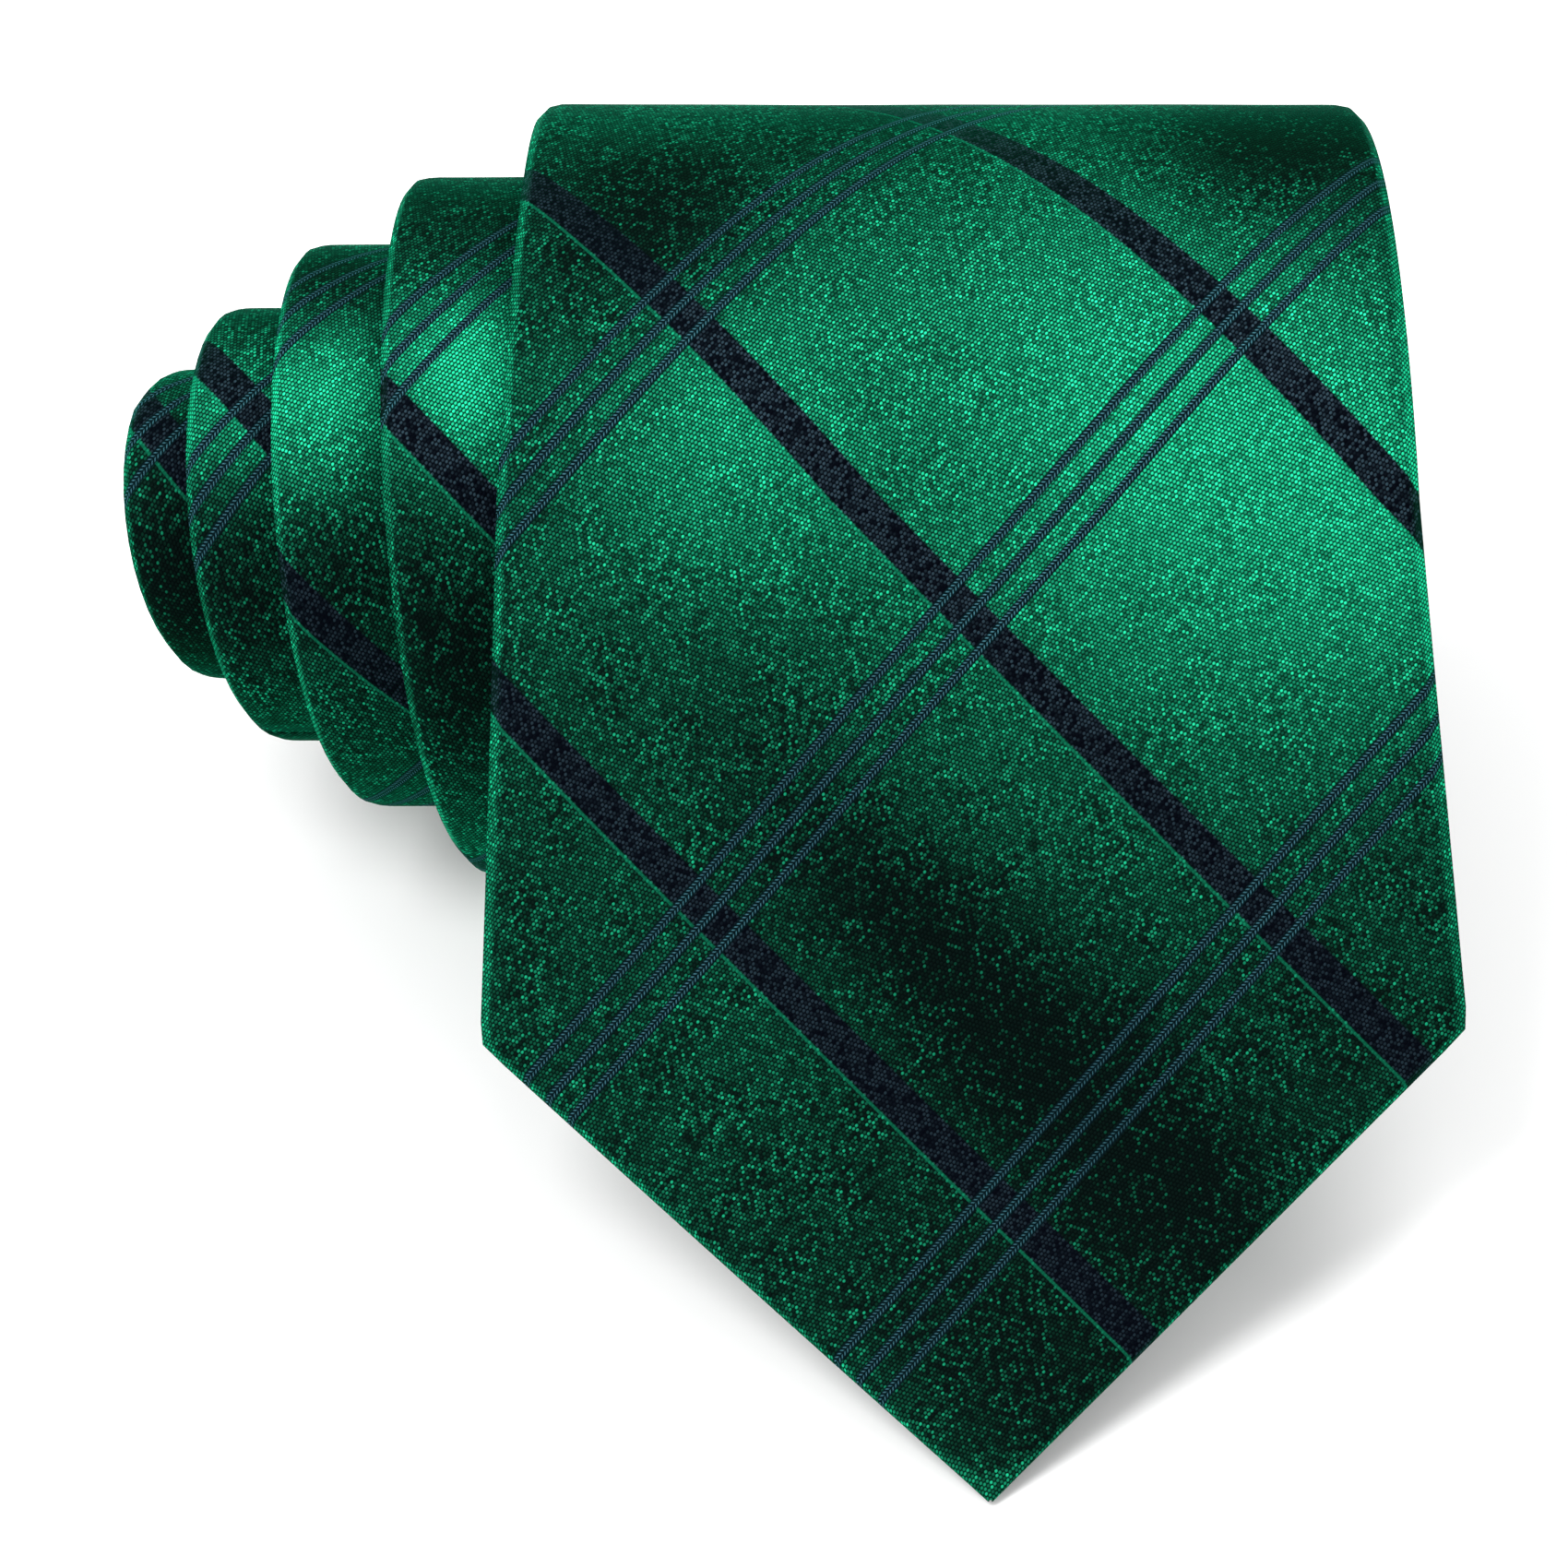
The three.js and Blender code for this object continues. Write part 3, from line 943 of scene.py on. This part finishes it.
def barTack(name, centre, bodyName, replaced):
    points, faces, marks = [], [], []
    sides, stops = tack["sides"], tack["stops"]
    for k in range(tack["threads"]):
        s0 = centre + (k - (tack["threads"] - 1) / 2) * tack["apart"]
        base = len(points)
        for i in range(stops):
            x = -1 + 2 * i / (stops - 1)
            w0 = tack["reach"] * x
            h0 = backLevel + tack["sink"] - (tack["rise"] + tack["sink"]) * (1 - abs(x) ** 3)
            thin = tack["radius"] * (1 - tack["taper"] * abs(x) ** tack["taperPower"])
            for j in range(sides):
                turn = 2 * math.pi * j / sides
                points.append(tuple(place(s0 + thin * math.cos(turn), w0, h0 + thin * math.sin(turn))))
                marks.append((w0, s0 + thin * turn, 0.0))
        for i in range(stops - 1):
            for j in range(sides):
                a, b = base + i * sides + j, base + i * sides + (j + 1) % sides
                faces.append((a, b, b + sides, a + sides))
        faces.append(tuple(base + j for j in reversed(range(sides))))
        faces.append(tuple(base + (stops - 1) * sides + j for j in range(sides)))
    finishPiece(meshOf(name, points, faces, marks), bodyName, thread, replaced)


barTack("blade_seam_tack", tie["lipsMeet"] - tack["before"], "flap", "blade_bar_tack")
barTack("tail_seam_tack", tieLength - tie["tailMeet"] - tack["before"], "roll", "tail_bar_tack")

# One long slip stitch that draws the lips of the back seam together.
slip = {
    "from": 116.0,
    "to": tieLength - 38.0,
    "radius": 0.2,
    "sides": 8,
    "stitch": 9.0,
    "sway": 0.38,
    "level": 0.3,
    "step": 1.5,
}


def slipOutline(s):
    sway = slip["sway"] * math.sin(2 * math.pi * s / slip["stitch"])
    turn = np.linspace(0, 2 * np.pi, slip["sides"], endpoint=False)
    w = sway + slip["radius"] * np.cos(turn)
    h = slip["level"] - slip["radius"] * np.sin(turn)
    return np.stack([w, h, slip["radius"] * turn], 1)


slipThread = sweep("seam_slip_stitch", slip["from"], slip["to"], slipOutline, slip["step"])
finishPiece(slipThread, "roll", thread, "slip_stitch")

# Stitching of the two neck seams, sunk between the cloths that it joins.
seam = {
    "half": 0.13,
    "levels": (1.98, 2.28),
    "inset": 1.4,
}


def seamHalf(s):
    return halfWidth(s) - seam["inset"]


for seamName, seamAt, seamNode in (("blade_to_neck_stitching", tie["bladeJoin"], "blade_neck_seam"),
                                   ("tail_to_neck_stitching", tailJoin, "tail_neck_seam")):
    bar = sweep(seamName, seamAt - seam["half"], seamAt + seam["half"],
                slabOutline(seamHalf, *seam["levels"]))
    finishPiece(bar, "roll", thread, seamNode)

# The keeper loop: a band of the same satin round the tail, its feet on the blade's back.
keeper = {
    "leg": 23.4,
    "foot": 27.0,
    "footEnd": 1.2,
    "thick": 0.42,
    "footLevel": -0.33,
    "crownLevel": -2.95,
    "bend": 0.9,
    "bendPoints": 7,
    "flatPoints": 22,
    "flatInset": 1.0,
    "step": 1.5,
}


def keeperOutline(s):
    leg, foot, curve = keeper["leg"], keeper["foot"], keeper["bend"]
    top, low = keeper["footLevel"], keeper["crownLevel"]
    quarter = np.linspace(0, np.pi / 2, keeper["bendPoints"])
    footBend = [(-leg - curve + curve * math.sin(a), top - curve + curve * math.cos(a))
                for a in quarter]
    crownBend = [(-leg + curve - curve * math.cos(a), low + curve - curve * math.sin(a))
                 for a in quarter]
    left = [(-foot, top), (-foot + keeper["footEnd"], top)] + footBend + crownBend
    reach = leg - curve - keeper["flatInset"]
    flat = [(x, low) for x in np.linspace(-reach, reach, keeper["flatPoints"])]
    line = np.array(left + flat + [(-x, y) for x, y in reversed(left)])
    tangent = np.stack([np.gradient(line[:, 0]), np.gradient(line[:, 1])], 1)
    tangent /= np.linalg.norm(tangent, axis=1, keepdims=True)
    away = np.stack([-tangent[:, 1], tangent[:, 0]], 1) * keeper["thick"] / 2
    along = np.concatenate([[0], np.cumsum(np.hypot(*np.diff(line, axis=0).T))])
    along -= along[-1] / 2
    outer = np.column_stack([line + away, along])
    inner = np.column_stack([line - away, along])
    return np.concatenate([outer, inner[::-1]])


keeperPiece = sweep("keeper_band", tie["keeperAt"], tie["keeperAt"] + tie["keeperLength"],
                    keeperOutline, keeper["step"])
finishPiece(keeperPiece, "roll", satin, "keeper_loop")
keeperLong = float(np.ptp(keeperOutline(0)[:, 2]))
print("necktie: stitching and keeper made")


# Pale table top, soft light all round, and three soft lamps as (place, aim, size, watts) in metres.
studio = {
    "floorSize": 6.0,
    "floorColour": (0.93, 0.93, 0.93, 1),
    "world": 0.92,
    "lamps": {
        "key_light": ((-0.45, -0.35, 0.95), (0, -0.02, 0.03), 0.5, 7.0),
        "top_light": ((0.25, 0.25, 1.1), (0, 0, 0.03), 0.6, 6.0),
        "rim_light": ((-0.9, 0.25, 0.35), (-0.05, 0, 0.03), 0.3, 3.0),
    },
}

side = studio["floorSize"] / 2
floorMesh = bpy.data.meshes.new("table_top")
floorCorners = [(-side, -side, 0), (side, -side, 0), (side, side, 0), (-side, side, 0)]
floorMesh.from_pydata(floorCorners, [], [(0, 1, 2, 3)])
tableTop = bpy.data.objects.new("table_top", floorMesh)
bpy.context.scene.collection.objects.link(tableTop)
floorNodes = Nodes("pale_table")
floorNodes.set(Base_Color=studio["floorColour"], Roughness=0.7, Specular_IOR_Level=0.2)
tableTop.data.materials.append(floorNodes.material)

world = bpy.data.worlds.new("studio_air")
world.use_nodes = True
world.node_tree.nodes["Background"].inputs["Color"].default_value = (1, 1, 1, 1)
world.node_tree.nodes["Background"].inputs["Strength"].default_value = studio["world"]
bpy.context.scene.world = world

for lampName, (where, towards, size, power) in studio["lamps"].items():
    light = bpy.data.lights.new(lampName, "AREA")
    light.shape = "DISK"
    light.size = size
    light.energy = power
    lamp = bpy.data.objects.new(lampName, light)
    lamp.location = where
    lamp.rotation_euler = (Vector(towards) - Vector(where)).to_track_quat("-Z", "Y").to_euler()
    bpy.context.scene.collection.objects.link(lamp)

# The camera looks down at the flap squarely, from straight in front.
view = {
    "elevation": 44.0,
    "distance": 0.64,          # m
    "lens": 160.6,
    "sensor": 36.0,
    "clipStart": 0.05,         # m
    "aimX": -14.5,
    "aimUp": -25.1,
}
rise = math.radians(view["elevation"])
aim = Vector((view["aimX"] * mm, view["aimUp"] * math.sin(rise) * mm,
              (axisHeight + view["aimUp"] * math.cos(rise)) * mm))
cameraData = bpy.data.cameras.new("front_camera")
cameraData.lens = view["lens"]
cameraData.sensor_width = view["sensor"]
cameraData.clip_start = view["clipStart"]
camera = bpy.data.objects.new("front_camera", cameraData)
camera.location = aim + Vector((0, -math.cos(rise), math.sin(rise))) * view["distance"]
camera.rotation_euler = (aim - camera.location).to_track_quat("-Z", "Y").to_euler()
bpy.context.scene.collection.objects.link(camera)
bpy.context.scene.camera = camera
bpy.context.scene.view_settings.view_transform = "Standard"

print("necktie: ready")
